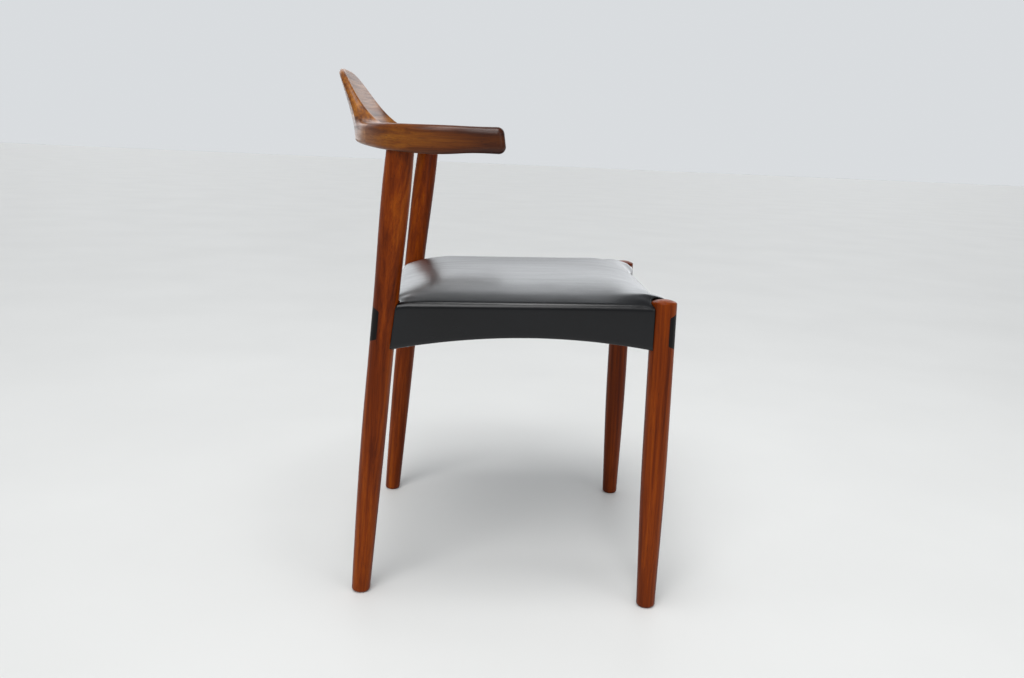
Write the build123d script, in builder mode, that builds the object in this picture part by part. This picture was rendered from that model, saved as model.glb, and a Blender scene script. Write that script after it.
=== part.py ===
# Dining chair with a horn-shaped back and an upholstered seat.
# Millimetres. +Z is up, the chair faces -Y and +X is the sitter's left. Z = 0 is the floor.
import os
from math import cos, exp, radians, sin

from build123d import *

# Front legs: round, tapered to the foot
front_foot_x = 231.0
front_foot_y = -235.4
front_top_x = 220.9
front_top_y = -231.9
front_leg_height = 450.0
front_leg_radius = 17.6
front_foot_radius = 13.4
front_taper_height = 230.0

# Rear legs: nearly round, leaning back to the floor and opening out above the seat
rear_foot_x = 211.5
rear_foot_y = 181.0
rear_leg_radius = 17.3
rear_foot_taper = 4.0
rear_taper_height = 250.0
rear_swell = 2.0
rear_swell_height = 570.0
rear_swell_spread = 85.0
rear_bend_height = 340.0
rear_bend = 24.2
rear_leg_top = 645.0
foot_rounding = 5.0
tenon_radius = 10.0
tenon_top = 656.0

# Back and arms: one ellipse in plan, then straight arms to the tips
back_half_width = 272.0
back_depth = 114.4
back_middle_y = 87.9
arm_length = 93.5
arm_flare = 4.0
arm_bottom = 633.0
arm_tip_rise = 5.0
arm_top = 669.5
arm_width = 42.0
arm_tip_width = 36.0
tip_slant = 9.0
tip_rounding = 9.0
crest_rise = 80.5
crest_angle = 25.6
crest_steepness = 3.5
crest_bottom_rise = 14.5
crest_bottom_width = 19.5
crest_top_width = 10.5
crest_lean = 41.0
joint_angle = 49.0
back_dowel_radius = 5.0
back_dowel_length = 40.0
back_dowel_offset = 9.0

# Seat: the leather's outer faces
seat_half_width = 234.75
seat_edge_front = 443.5
seat_edge_front_y = -231.0
seat_slope = 0.0268
seat_crown = 29.5
seat_front_start = -155.0
seat_front_run = 81.0
seat_front_fall = 52.0
seat_front_corner_fall = 6.0
seat_rear_start = 72.0
seat_rear_run = 95.0
seat_rear_fall = 43.5
seat_rear_corner_fall = 11.0
leather = 1.75
arch_radius = 964.0
arch_y = -72.4
arch_z = -573.6

# Seat frame inside the leather
rail_thickness = 22.0
rail_x = 222.0
side_rail_drop = 10.0
webbing_thickness = 1.8
webbing_width = 50.0
corner_block_leg = 55.0
corner_block_height = 34.0
corner_block_drop = 16.0
dowel_radius = 4.0
dowel_length = 28.0
dowel_middle_x = 199.0
dowel_spread = 11.0
rear_dowel_z = 395.0
screw_along = 36.0
screw_head_depth = 10.0
dust_cloth = 0.8
tack_head_radius = 3.0
tack_head = 1.0
tack_radius = 0.8
tack_length = 10.0

# Bolted leg joints and the dark blocks that cover them
front_bolt_z = 406.6
rear_bolt_z = 400.0
notch_floor = 6.6
notch_inner_half = 19.5
notch_outer_half = 26.5
notch_reach = 14.0
bolt_spread = 12.0
bolt_radius = 3.0
bolt_head_radius = 5.0
bolt_head_height = 6.0
bolt_length = 49.0
washer_radius = 6.2
washer_thickness = 1.2
counterbore_radius = 7.0
counterbore_depth = 8.0
nut_radius = 5.0
nut_length = 16.0
nut_depth = 46.0

sides = {"left": 1, "right": -1}
upward = (Align.CENTER, Align.CENTER, Align.MIN)
os.makedirs("parts", exist_ok=True)


def save(piece, name):
    piece.label = name
    export_step(piece, f"parts/{name}.step")


def rod(radius, length, mode=Mode.ADD):
    return Cylinder(radius, length, align=upward, mode=mode)


def seat_edge(y):
    return seat_edge_front - seat_slope * (y - seat_edge_front_y)


def seat_plane(drop):
    return Plane((0, 0, seat_edge(0) - drop), x_dir=(1, 0, 0), z_dir=(0, seat_slope, 1))


# Legs

def front_leg_blank(side, grow=0.0):
    foot = Vector(side * front_foot_x, front_foot_y, 0)
    top = Vector(side * front_top_x, front_top_y, front_leg_height)
    along = (top - foot).normalized()
    across = along.cross(Vector(0, 1, 0)).normalized()
    radius = front_leg_radius + grow
    foot_radius = front_foot_radius + grow
    with BuildPart() as blank:
        with BuildSketch(Plane(foot, x_dir=across, z_dir=across.cross(along))):
            with BuildLine():
                Line((0, -1), (foot_radius - foot_rounding, -1))
                Line((foot_radius - foot_rounding, -1), (foot_radius - foot_rounding, 0))
                RadiusArc((foot_radius - foot_rounding, 0), (foot_radius, foot_rounding), -foot_rounding)
                taper_start = (foot_radius, foot_rounding)
                taper_end = (radius, front_taper_height)
                Spline(taper_start, taper_end, tangents=((0.02, 1), (0, 1)))
                rim = (radius, front_leg_height - 6.2)
                Line(taper_end, rim)
                dome = (radius - 2, front_leg_height - 3.2)
                TangentArc(rim, dome, tangent=(0, 1))
                Line((0, -1), (0, front_leg_height))
                TangentArc((0, front_leg_height), dome, tangent=(1, 0))
            make_face()
        revolve(axis=Axis(foot, along))
        split(bisect_by=Plane.XY, keep=Keep.TOP)
    return blank.part


def rear_leg_axis(z):
    y = rear_foot_y - 0.0619 * z - 2.56e-5 * z * z
    bend = max(0.0, z - rear_bend_height) / (rear_leg_top - rear_bend_height)
    return rear_foot_x + 0.0225 * z + rear_bend * bend**1.6, y


def rear_leg_section(z):
    low = max(0.0, rear_taper_height - z) / rear_taper_height
    swell = rear_swell * exp(-(((z - rear_swell_height) / rear_swell_spread) ** 2))
    radius = rear_leg_radius - rear_foot_taper * low**1.4
    return radius + 0.5 * swell, radius + swell


def rear_leg_blank(side, grow=0.0):
    with BuildPart() as blank:
        for z in (0, 50, 110, 180, 250, 330, 400, 460, 520, 580, rear_leg_top):
            x, y = rear_leg_axis(z)
            x_radius, y_radius = rear_leg_section(z)
            with BuildSketch(Plane.XY.offset(z)):
                with Locations((side * x, y)):
                    Ellipse(x_radius + grow, y_radius + grow)
        loft()
        fillet(blank.edges().group_by(Axis.Z)[0], foot_rounding)
    return blank.part


# Back and arms

def horn_station(angle, forward=0.0):
    # One half in plan: centre line and outward direction, the angle counted from the middle of the back
    turn = radians(angle)
    x = back_half_width * sin(turn) + arm_flare * forward / arm_length
    y = back_middle_y + back_depth * cos(turn) - forward
    outward = Vector(sin(turn) / back_half_width, cos(turn) / back_depth).normalized()
    return x, y, outward


def horn_plane(side, angle, forward=0.0):
    x, y, outward = horn_station(angle, forward)
    normal = Vector(side * outward.X, outward.Y, 0)
    return Plane((side * x, y, 0), x_dir=normal, z_dir=(normal.Y, -normal.X, 0))


def horn_corners(angle, forward=0.0):
    # Section seen along the centre line: bottom inner, bottom outer, top outer, top inner
    rise = exp(-((angle / crest_angle) ** crest_steepness))
    run = forward / arm_length
    width = arm_width + (arm_tip_width - arm_width) * run
    bottom_half = (width + (crest_bottom_width - width) * rise) / 2
    top_half = (crest_top_width + (width - crest_top_width) * (1 - rise) ** 4) / 2
    lean = crest_lean * rise**0.9
    bottom = arm_bottom + crest_bottom_rise * cos(radians(angle)) ** 2 + arm_tip_rise * run
    top = arm_top + crest_rise * rise
    bottom_round = 5 + 6.5 * run**2
    top_round = min(9, 0.9 * top_half) + 2.5 * run**2
    corners = [(-bottom_half, bottom), (bottom_half, bottom), (lean + top_half, top), (lean - top_half, top)]
    return corners, [bottom_round, bottom_round, top_round, top_round]


def horn():
    half = [(angle, 0) for angle in (8, 15, 21, 26, 31, 37, 45, 56, 72, 90)]
    half += [(90, arm_length * part) for part in (0.35, 0.7, 1.05)]
    stations = [(-1, *spot) for spot in reversed(half)] + [(1, 0, 0)] + [(1, *spot) for spot in half]
    with BuildPart() as whole:
        for side, angle, forward in stations:
            corners, radii = horn_corners(angle, forward)
            with BuildSketch(horn_plane(side, angle, forward)):
                with BuildLine():
                    FilletPolyline(*corners, radius=radii, close=True)
                make_face()
        loft()
        slant = radians(tip_slant)
        tip = (0, back_middle_y - arm_length, arm_bottom + 12)
        split(bisect_by=Plane(tip, x_dir=(1, 0, 0), z_dir=(0, -cos(slant), sin(slant))), keep=Keep.BOTTOM)
        tips = whole.faces().sort_by(Axis.Y)[:2]
        fillet(tips.edges(), tip_rounding)
    return whole.part


whole_horn = horn()
legs = {}
for name, side in sides.items():
    legs[f"front_leg_{name}"] = front_leg_blank(side)
    legs[f"rear_leg_{name}"] = rear_leg_blank(side)


def joint_plane(side):
    return horn_plane(side, joint_angle)


def back_dowels(reach):
    # Two dowels across each glue line between the crest and an arm
    corners, radii = horn_corners(joint_angle)
    middle = (corners[0][1] + corners[2][1]) / 2
    with BuildPart() as dowels:
        for side in sides.values():
            with Locations(joint_plane(side).location):
                with Locations((-back_dowel_offset, middle), (back_dowel_offset, middle)):
                    Cylinder(back_dowel_radius, back_dowel_length + reach)
    return dowels.part


dowel_bores = back_dowels(1.0)
with BuildPart() as back_crest:
    add(whole_horn)
    split(bisect_by=joint_plane(1), keep=Keep.BOTTOM)
    split(bisect_by=joint_plane(-1), keep=Keep.TOP)
    add(dowel_bores, mode=Mode.SUBTRACT)
save(back_crest.part, "back_crest")

for name, side in sides.items():
    with BuildPart() as arm:
        add(whole_horn)
        split(bisect_by=joint_plane(side), keep=Keep.TOP if side > 0 else Keep.BOTTOM)
        add(dowel_bores, mode=Mode.SUBTRACT)
        x, y = rear_leg_axis(arm_bottom)
        with Locations((side * x, y, arm_bottom - 10)):
            rod(tenon_radius, tenon_top + 1 - arm_bottom + 10, Mode.SUBTRACT)
    save(arm.part, f"arm_{name}")

with BuildPart() as crest_dowels:
    add(back_dowels(0.0))
save(crest_dowels.part, "crest_dowels")


# Bolted joints between legs and side rails

def bolt_plane(end, side):
    # Origin on the leg's axis, X along the leg, Z pointing into the side rail
    if end == "front":
        part_way = front_bolt_z / front_leg_height
        x = front_foot_x + (front_top_x - front_foot_x) * part_way
        y = front_foot_y + (front_top_y - front_foot_y) * part_way
        return Plane((side * x, y, front_bolt_z), x_dir=(0, 0, 1), z_dir=(0, 1, 0))
    x, y = rear_leg_axis(rear_bolt_z)
    lean = rear_leg_axis(rear_bolt_z + 1)[1] - y
    return Plane((side * x, y, rear_bolt_z), x_dir=(0, lean, 1), z_dir=(0, -1, lean))


def bolt_rows(end, side, depth):
    # Both bolt positions of one joint, at a depth below the floor of the notch
    plane = bolt_plane(end, side).offset(depth - notch_floor)
    return [plane.location * Pos(shift, 0, 0) for shift in (-bolt_spread, bolt_spread)]


def notch(end, side):
    plane = bolt_plane(end, side)
    with BuildPart() as block:
        with BuildSketch(Plane(plane.origin, x_dir=plane.x_dir, z_dir=plane.y_dir)):
            with BuildLine():
                FilletPolyline(
                    (-notch_inner_half, notch_floor),
                    (notch_inner_half, notch_floor),
                    (notch_outer_half, notch_floor + notch_reach),
                    (-notch_outer_half, notch_floor + notch_reach),
                    radius=[3, 3, 0, 0],
                    close=True,
                )
            make_face()
        extrude(amount=front_leg_radius + 4, both=True)
    return block.part


joints = [(end, name, side) for end in ("front", "rear") for name, side in sides.items()]
for end, name, side in joints:
    blank = legs[f"{end}_leg_{name}"]
    with BuildPart() as leg:
        add(blank)
        add(notch(end, side), mode=Mode.SUBTRACT)
        with Locations(*bolt_rows(end, side, 0)):
            rod(counterbore_radius, counterbore_depth, Mode.SUBTRACT)
            rod(bolt_radius + 0.3, 2 * front_leg_radius, Mode.SUBTRACT)
        if end == "rear":
            add(whole_horn, mode=Mode.SUBTRACT)
            x, y = rear_leg_axis(arm_bottom)
            with Locations((side * x, y, arm_bottom - 8)):
                rod(tenon_radius, tenon_top - arm_bottom + 8)
    with BuildPart() as cover_block:
        add(blank)
        add(notch(end, side), mode=Mode.INTERSECT)
    legs[f"{end}_leg_{name}"] = leg.part
    save(cover_block.part, f"bolt_cover_{end}_{name}")

with BuildPart() as frame_bolts:
    for end, name, side in joints:
        head_depth = counterbore_depth - washer_thickness - bolt_head_height
        with Locations(*bolt_rows(end, side, head_depth)):
            rod(bolt_head_radius, bolt_head_height)
            rod(bolt_radius, bolt_head_height + bolt_length)
        with BuildSketch(bolt_plane(end, side).offset(head_depth - notch_floor)):
            with Locations((-bolt_spread, 0), (bolt_spread, 0)):
                RegularPolygon(bolt_radius - 0.2, 6)
        extrude(amount=bolt_head_height / 2, mode=Mode.SUBTRACT)
save(frame_bolts.part, "frame_bolts")

with BuildPart() as bolt_washers:
    for end, name, side in joints:
        with Locations(*bolt_rows(end, side, counterbore_depth - washer_thickness)):
            rod(washer_radius, washer_thickness)
            rod(bolt_radius + 0.2, washer_thickness, Mode.SUBTRACT)
save(bolt_washers.part, "bolt_washers")

with BuildPart() as barrel_nuts:
    for end, name, side in joints:
        with Locations(*bolt_rows(end, side, nut_depth)):
            Cylinder(nut_radius, nut_length, rotation=(90, 0, 0))
        with Locations(*bolt_rows(end, side, nut_depth - 2 * nut_radius)):
            rod(bolt_radius, 4 * nut_radius, Mode.SUBTRACT)
save(barrel_nuts.part, "barrel_nuts")


front_bolt_y = bolt_plane("front", 1).origin.Y
rear_bolt_y = bolt_plane("rear", 1).origin.Y


# Seat: the crowned body that the leather is drawn over

def seat_stations(inset):
    # The front and rear edges roll down along an ellipse, so stations follow its angle.
    # Each has its place, how far the middle has fallen there and how far the corners have.
    spots = []
    for angle in (90, 75, 57, 42, 24, 0):
        roll = 1 - cos(radians(angle))
        y = seat_front_start - (seat_front_run - inset) * sin(radians(angle))
        spots.append((y, seat_front_fall * roll, seat_front_corner_fall * roll**2))
    for angle in (0, 24, 42, 57, 69, 90):
        roll = 1 - cos(radians(angle))
        y = seat_rear_start + (seat_rear_run - inset) * sin(radians(angle))
        spots.append((y, seat_rear_fall * roll, seat_rear_corner_fall * roll**2))
    return spots


def under_arch(inset):
    # The lower edge of the seat is a shallow arch from front to rear
    with Locations((0, arch_y, arch_z)):
        Cylinder(arch_radius + inset, 700, rotation=(0, 90, 0), mode=Mode.SUBTRACT)


def seat_envelope(inset):
    half = seat_half_width - inset
    with BuildPart() as envelope:
        for y, middle_fall, corner_fall in seat_stations(inset):
            edge = seat_edge(y) - inset
            shoulder = edge + 1 - corner_fall
            with BuildSketch(Plane.XZ.offset(-y)):
                with BuildLine():
                    Line((-half, 340), (half, 340))
                    Line((half, 340), (half, shoulder - 13))
                    TangentArc((half, shoulder - 13), (half - 14, shoulder), tangent=(0, 1))
                    crown = edge + seat_crown - middle_fall
                    ThreePointArc((half - 14, shoulder), (0, crown), (14 - half, shoulder))
                    TangentArc((-half, shoulder - 13), (14 - half, shoulder), tangent=(0, 1))
                    Line((-half, shoulder - 13), (-half, 340))
                make_face()
        loft()
        under_arch(inset)
    return envelope.part


def seat_box(x_reach, y_front, y_rear, drop):
    # A block under the sloping plane of the seat, shaped to the inside of the leather
    with Locations((0, (y_front + y_rear) / 2, 340)):
        Box(2 * x_reach, y_rear - y_front, 150, align=upward)
    split(bisect_by=seat_plane(drop), keep=Keep.BOTTOM)
    add(seat_envelope(leather + 0.05), mode=Mode.INTERSECT)


def cut_legs(grow):
    for blank in leg_blanks(grow):
        add(blank, mode=Mode.SUBTRACT)


def leg_blanks(grow):
    return [make(side, grow) for make in (front_leg_blank, rear_leg_blank) for side in sides.values()]


front_face = seat_front_start - seat_front_run + leather
rear_face = seat_rear_start + seat_rear_run - leather
rail_inner_x = rail_x - rail_thickness / 2
rail_outer_x = rail_x + rail_thickness / 2
front_inner_y = front_face + rail_thickness
rear_inner_y = rear_face - rail_thickness
seat_middle_y = (front_inner_y + rear_inner_y) / 2
seat_clear_length = rear_inner_y - front_inner_y
end_rail_drop = side_rail_drop - webbing_thickness - 0.05
foam_drop = end_rail_drop - webbing_thickness - 0.05


def end_dowels(reach):
    # Two dowels at each end of the front and rear rails, let into the legs
    with BuildPart() as dowels:
        for y, z in ((front_face + rail_thickness / 2, front_bolt_z), (rear_face - rail_thickness / 2 - 3, rear_dowel_z)):
            for side in sides.values():
                x = side * dowel_middle_x
                with Locations((x, y, z - dowel_spread), (x, y, z + dowel_spread)):
                    Cylinder(dowel_radius, dowel_length + reach, rotation=(0, 90, 0))
    return dowels.part


def block_screw_spots():
    # One screw into the side rail and one into the end rail from each corner block
    spots = []
    for y, inward in ((front_inner_y, 1), (rear_inner_y, -1)):
        z = seat_edge(y) - corner_block_drop - corner_block_height / 2
        for side in sides.values():
            into_side = (side * (rail_inner_x - screw_head_depth), y + inward * screw_along, z)
            into_end = (side * (rail_inner_x - screw_along), y + inward * screw_head_depth, z)
            spots.append(Plane(into_side, z_dir=(side, 0, 0)))
            spots.append(Plane(into_end, z_dir=(0, -inward, 0)))
    return [plane.location for plane in spots]


def block_screws():
    with BuildPart() as screws:
        with Locations(*block_screw_spots()):
            rod(4.0, 3.0)
            rod(2.0, 26.0)
    return screws.part


rail_pegs = end_dowels(0.0)
peg_bores = end_dowels(1.0)
screws = block_screws()


tack_spots = []
for side in sides.values():
    tack_spots += [(side * rail_x, -180 + 30 * step) for step in range(11)]
for y in ((front_face + front_inner_y) / 2, (rear_face + rear_inner_y) / 2):
    tack_spots += [(-150 + 30 * step, y) for step in range(11)]


def tacks():
    # Cut tacks through dust cover and leather into the rails, square to the arch
    with BuildPart() as group:
        for x, y in tack_spots:
            slope = Vector(0, y - arch_y, (arch_radius**2 - (y - arch_y) ** 2) ** 0.5).normalized()
            foot = Vector(x, arch_y, arch_z) + slope * (arch_radius - dust_cloth - tack_head)
            with Locations(Plane(foot, z_dir=slope).location):
                rod(tack_head_radius, tack_head)
                rod(tack_radius, tack_length)
    return group.part


tack_group = tacks()


def bore_for_bolts():
    for end, name, side in joints:
        with Locations(*bolt_rows(end, side, 0)):
            rod(bolt_radius + 0.3, bolt_length + 14, Mode.SUBTRACT)
        with Locations(*bolt_rows(end, side, nut_depth)):
            Cylinder(nut_radius, nut_length, rotation=(90, 0, 0), mode=Mode.SUBTRACT)


for name, side in sides.items():
    with BuildPart() as side_rail:
        seat_box(rail_outer_x, front_bolt_y, rear_bolt_y, side_rail_drop)
        split(bisect_by=Plane.YZ.offset(side * rail_inner_x), keep=Keep.TOP if side > 0 else Keep.BOTTOM)
        cut_legs(0.0)
        bore_for_bolts()
        add(screws, mode=Mode.SUBTRACT)
        add(tack_group, mode=Mode.SUBTRACT)
    save(side_rail.part, f"side_rail_{name}")

end_rails = {"front": (front_face, front_inner_y), "rear": (rear_inner_y, rear_face)}
for end, (y_front, y_rear) in end_rails.items():
    with BuildPart() as end_rail:
        seat_box(rail_inner_x, y_front, y_rear, end_rail_drop)
        cut_legs(0.0)
        add(peg_bores, mode=Mode.SUBTRACT)
        add(screws, mode=Mode.SUBTRACT)
        add(tack_group, mode=Mode.SUBTRACT)
    save(end_rail.part, f"{end}_rail")

for end, name, side in joints:
    with BuildPart() as leg:
        add(legs[f"{end}_leg_{name}"])
        add(peg_bores, mode=Mode.SUBTRACT)
    save(leg.part, f"{end}_leg_{name}")

with BuildPart() as rail_dowels:
    add(rail_pegs)
save(rail_dowels.part, "rail_dowels")

for end, name, side in joints:
    y, inward = (front_inner_y, 1) if end == "front" else (rear_inner_y, -1)
    with BuildPart() as corner_block:
        top = seat_edge(y) - corner_block_drop
        with BuildSketch(Plane.XY.offset(top - corner_block_height)):
            with BuildLine():
                Polyline(
                    (side * rail_inner_x, y),
                    (side * (rail_inner_x - corner_block_leg), y),
                    (side * rail_inner_x, y + inward * corner_block_leg),
                    close=True,
                )
            make_face()
        extrude(amount=corner_block_height)
        cut_legs(0.2)
        with Locations(*block_screw_spots()):
            Cylinder(4.5, 40, align=(Align.CENTER, Align.CENTER, Align.MAX), mode=Mode.SUBTRACT)
        add(screws, mode=Mode.SUBTRACT)
    save(corner_block.part, f"corner_block_{end}_{name}")

with BuildPart() as corner_screws:
    add(screws)
save(corner_screws.part, "corner_screws")

with BuildPart() as webbing_across:
    with BuildSketch(seat_plane(side_rail_drop)):
        with Locations((0, seat_middle_y)):
            with GridLocations(0, seat_clear_length / 5.3, 1, 5):
                Rectangle(2 * rail_outer_x - 6, webbing_width)
    extrude(amount=webbing_thickness)
save(webbing_across.part, "webbing_across")

with BuildPart() as webbing_along:
    with BuildSketch(seat_plane(end_rail_drop)):
        with Locations((0, (front_face + rear_face) / 2)):
            with GridLocations(2 * rail_inner_x / 5, 0, 4, 1):
                Rectangle(webbing_width, rear_face - front_face - 18)
    extrude(amount=webbing_thickness)
save(webbing_along.part, "webbing_along")

with BuildPart() as foam_pad:
    add(seat_envelope(leather + 0.1))
    split(bisect_by=seat_plane(foam_drop), keep=Keep.TOP)
    cut_legs(1.0)
save(foam_pad.part, "foam_pad")

with BuildPart() as leather_cover:
    add(seat_envelope(0))
    add(seat_envelope(leather), mode=Mode.SUBTRACT)
    with Locations((0, seat_middle_y, 300)):
        Box(2 * rail_inner_x, seat_clear_length, 110, align=upward, mode=Mode.SUBTRACT)
    cut_legs(0.3)
    add(tack_group, mode=Mode.SUBTRACT)
# The slivers that stay outside the rear legs are trimmed off
save(leather_cover.solids().sort_by(SortBy.VOLUME)[-1], "leather_cover")

with BuildPart() as dust_cover:
    with Locations((0, arch_y, arch_z)):
        Cylinder(arch_radius, 2 * rail_x + 14, rotation=(0, 90, 0))
        Cylinder(arch_radius - dust_cloth, 2 * rail_x + 20, rotation=(0, 90, 0), mode=Mode.SUBTRACT)
    with Locations((0, (front_face + rear_face) / 2, 340)):
        Box(500, rear_face - front_face - 8, 120, align=upward, mode=Mode.INTERSECT)
    cut_legs(0.5)
    add(tack_group, mode=Mode.SUBTRACT)
save(dust_cover.part, "dust_cover")

with BuildPart() as cover_tacks:
    add(tack_group)
save(cover_tacks.part, "cover_tacks")
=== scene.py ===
import math

import bmesh
import bpy
from mathutils import Matrix, Vector, noise


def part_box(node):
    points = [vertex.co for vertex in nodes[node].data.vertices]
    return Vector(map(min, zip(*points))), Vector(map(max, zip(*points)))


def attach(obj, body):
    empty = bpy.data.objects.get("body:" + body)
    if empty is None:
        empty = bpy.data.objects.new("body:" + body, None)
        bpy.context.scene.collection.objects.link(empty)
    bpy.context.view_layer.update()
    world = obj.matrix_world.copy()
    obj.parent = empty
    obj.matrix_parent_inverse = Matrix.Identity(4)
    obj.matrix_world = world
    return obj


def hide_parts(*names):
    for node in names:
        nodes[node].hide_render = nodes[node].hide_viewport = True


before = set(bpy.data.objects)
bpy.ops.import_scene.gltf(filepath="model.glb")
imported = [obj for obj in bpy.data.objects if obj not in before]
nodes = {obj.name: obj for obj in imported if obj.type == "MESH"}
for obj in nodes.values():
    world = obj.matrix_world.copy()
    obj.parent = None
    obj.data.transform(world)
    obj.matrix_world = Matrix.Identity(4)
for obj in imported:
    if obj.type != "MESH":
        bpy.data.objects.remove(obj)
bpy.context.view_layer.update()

scene = bpy.context.scene
sides = {"left": 1, "right": -1}


# small helpers for node trees

def srgb(red, green, blue):
    def linear(value):
        value /= 255
        return value / 12.92 if value <= 0.04045 else ((value + 0.055) / 1.055) ** 2.4
    return (linear(red), linear(green), linear(blue), 1)


class Tree:
    # keeps the node tree of one material and its shader
    def __init__(self, name):
        self.material = bpy.data.materials.new(name)
        self.material.use_nodes = True
        self.nodes = self.material.node_tree.nodes
        self.links = self.material.node_tree.links
        self.shader = self.nodes["Principled BSDF"]

    def fill(self, socket, value):
        if isinstance(value, bpy.types.NodeSocket):
            self.links.new(value, socket)
        else:
            socket.default_value = value

    def add(self, kind, inputs=None, **settings):
        node = self.nodes.new(kind)
        for key, value in settings.items():
            setattr(node, key, value)
        for key, value in (inputs or {}).items():
            self.fill(node.inputs[key], value)
        return node

    def place(self, turn=(0, 0, 0), scale=(1, 1, 1)):
        # Object coordinates, turned first and scaled afterwards
        coords = self.add("ShaderNodeTexCoord")
        turned = self.add("ShaderNodeMapping", {"Vector": coords.outputs["Object"], "Rotation": turn})
        return self.scaled(turned.outputs[0], scale, (0, 0, 0))

    def scaled(self, vector, scale, shift):
        node = self.add("ShaderNodeMapping", {"Vector": vector, "Scale": scale, "Location": shift})
        return node.outputs[0]

    def noise(self, vector, scale, detail=3.0, roughness=0.5):
        node = self.add("ShaderNodeTexNoise", {"Vector": vector, "Scale": scale, "Detail": detail})
        node.inputs["Roughness"].default_value = roughness
        return node.outputs["Fac"]

    def ramp(self, factor, stops):
        node = self.add("ShaderNodeValToRGB", {"Fac": factor})
        while len(node.color_ramp.elements) < len(stops):
            node.color_ramp.elements.new(0.5)
        for element, (position, color) in zip(node.color_ramp.elements, stops):
            element.position = position
            element.color = color
        return node.outputs["Color"]

    def mathNode(self, operation, first, second):
        node = self.add("ShaderNodeMath", {0: first, 1: second}, operation=operation)
        return node.outputs[0]

    def weighted(self, values, shares):
        # two values added up, each times its share
        parts = [self.mathNode("MULTIPLY", value, share) for value, share in zip(values, shares)]
        return self.mathNode("ADD", *parts)

    def spread(self, value, low, high, fromLow=0.0, fromHigh=1.0):
        node = self.add("ShaderNodeMapRange", {"Value": value, "From Min": fromLow, "From Max": fromHigh})
        node.inputs["To Min"].default_value = low
        node.inputs["To Max"].default_value = high
        return node.outputs[0]

    def mix(self, factor, first, second, blend="MIX"):
        node = self.add("ShaderNodeMix", data_type="RGBA", blend_type=blend)
        for index, value in ((0, factor), (6, first), (7, second)):  # the colour sockets
            self.fill(node.inputs[index], value)
        return node.outputs[2]

    def finish(self, color, roughness, height, strength, distance):
        self.links.new(color, self.shader.inputs["Base Color"])
        self.links.new(roughness, self.shader.inputs["Roughness"])
        relief = {"Height": height, "Strength": strength, "Distance": distance}
        bump = self.add("ShaderNodeBump", relief)
        self.links.new(bump.outputs[0], self.shader.inputs["Normal"])
        return self.material


def dress(nodeName, material):
    slots = nodes[nodeName].data.materials
    slots.clear()
    slots.append(material)


# oiled teak and its relatives

horn = {  # plan of the back, for grain that follows its curve
    "half": 0.272,
    "depth": 0.1144,
    "middle": 0.0879,
    "girth": 0.2,  # turns angle and radius back into metres
}
grain = {
    "drift": ((4, 4, 2.5), 2.0, 0.5),  # scales with the last one along the grain, detail, roughness
    "growth": ((48, 48, 1.3), 3.0, 0.5),
    "streak": ((210, 210, 2.6), 4.0, 0.6),
    "fibre": ((800, 800, 9), 3.0, 0.6),
    "pore": ((1500, 1500, 34), 1.5, 0.4),
    "driftPush": (0.012, -0.009),
    "bandShares": (0.55, 0.45),  # of growth and streak
    "toneStops": (0.36, 0.46, 0.54, 0.66),
    "fibreShade": ((0.34, (0.66, 0.6, 0.56, 1)), (0.6, (1, 1, 1, 1))),
    "fibreShare": 0.55,
    "poreCut": (0.28, 0.40),
    "poreColor": (0.008, 0.004, 0.002, 1),
    "glossCut": (0.35, 0.65),
    "tipShadePlace": (0.02, 0.125),  # painted shade: the arms darken between these places, towards their tips
    "tipShadeRed": 1.25,
    "heightShares": (0.4, -0.6),  # of fibre and pores
    "bumpDepth": 0.0004,
}
woods = {
    "plain": {"gloss": (0.3, 0.42), "pores": 0.5, "tipShade": 1.0, "shine": 0.12, "relief": 0.15},
    "teakLeg": {"tones": ((78, 25, 0), (102, 38, 0), (121, 49, 1), (143, 67, 3))},
    "teakBack": {
        "tones": ((82, 41, 10), (120, 67, 16), (144, 86, 22), (168, 108, 38)),
        "gloss": (0.28, 0.38),
        "shine": 0.42,
        "relief": 0.06,
    },
    "teakArm": {
        "tones": ((62, 28, 4), (95, 46, 6), (116, 61, 9), (139, 82, 18)),
        # painted shade towards the arm tips: the share of the colour that is kept at the tips
        "tipShade": 0.32,
        "shine": 0.27,
    },
    "ebonised": {
        "tones": ((6, 5, 5), (11, 9, 9), (15, 13, 13), (24, 20, 19)),
        "gloss": (0.34, 0.46),
        "pores": 0.3,
    },
    "beech": {
        "tones": ((164, 122, 80), (184, 144, 98), (196, 157, 111), (212, 176, 130)),
        "gloss": (0.55, 0.7),
        "pores": 0.2,
    },
}


def hornPlace(tree):
    coords = tree.add("ShaderNodeTexCoord")
    parts = tree.add("ShaderNodeSeparateXYZ", {0: coords.outputs["Object"]})
    x, y, z = parts.outputs
    sideways = tree.mathNode("DIVIDE", x, horn["half"])
    behind = tree.mathNode("MAXIMUM", tree.mathNode("SUBTRACT", y, horn["middle"]), 0.0)
    ahead = tree.mathNode("MAXIMUM", tree.mathNode("SUBTRACT", horn["middle"], y), 0.0)
    backward = tree.mathNode("DIVIDE", behind, horn["depth"])
    angle = tree.mathNode("ARCTAN2", sideways, backward)
    flat = tree.add("ShaderNodeCombineXYZ", {"X": sideways, "Y": backward})
    radius = tree.add("ShaderNodeVectorMath", {0: flat.outputs[0]}, operation="LENGTH")
    arms = tree.mathNode("MULTIPLY", tree.mathNode("SIGN", x, 0.0), ahead)
    along = tree.mathNode("ADD", tree.mathNode("MULTIPLY", angle, horn["girth"]), arms)
    across = tree.mathNode("MULTIPLY", radius.outputs["Value"], horn["girth"])
    joined = tree.add("ShaderNodeCombineXYZ", {"X": across, "Y": z, "Z": along})
    return joined.outputs[0]


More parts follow.
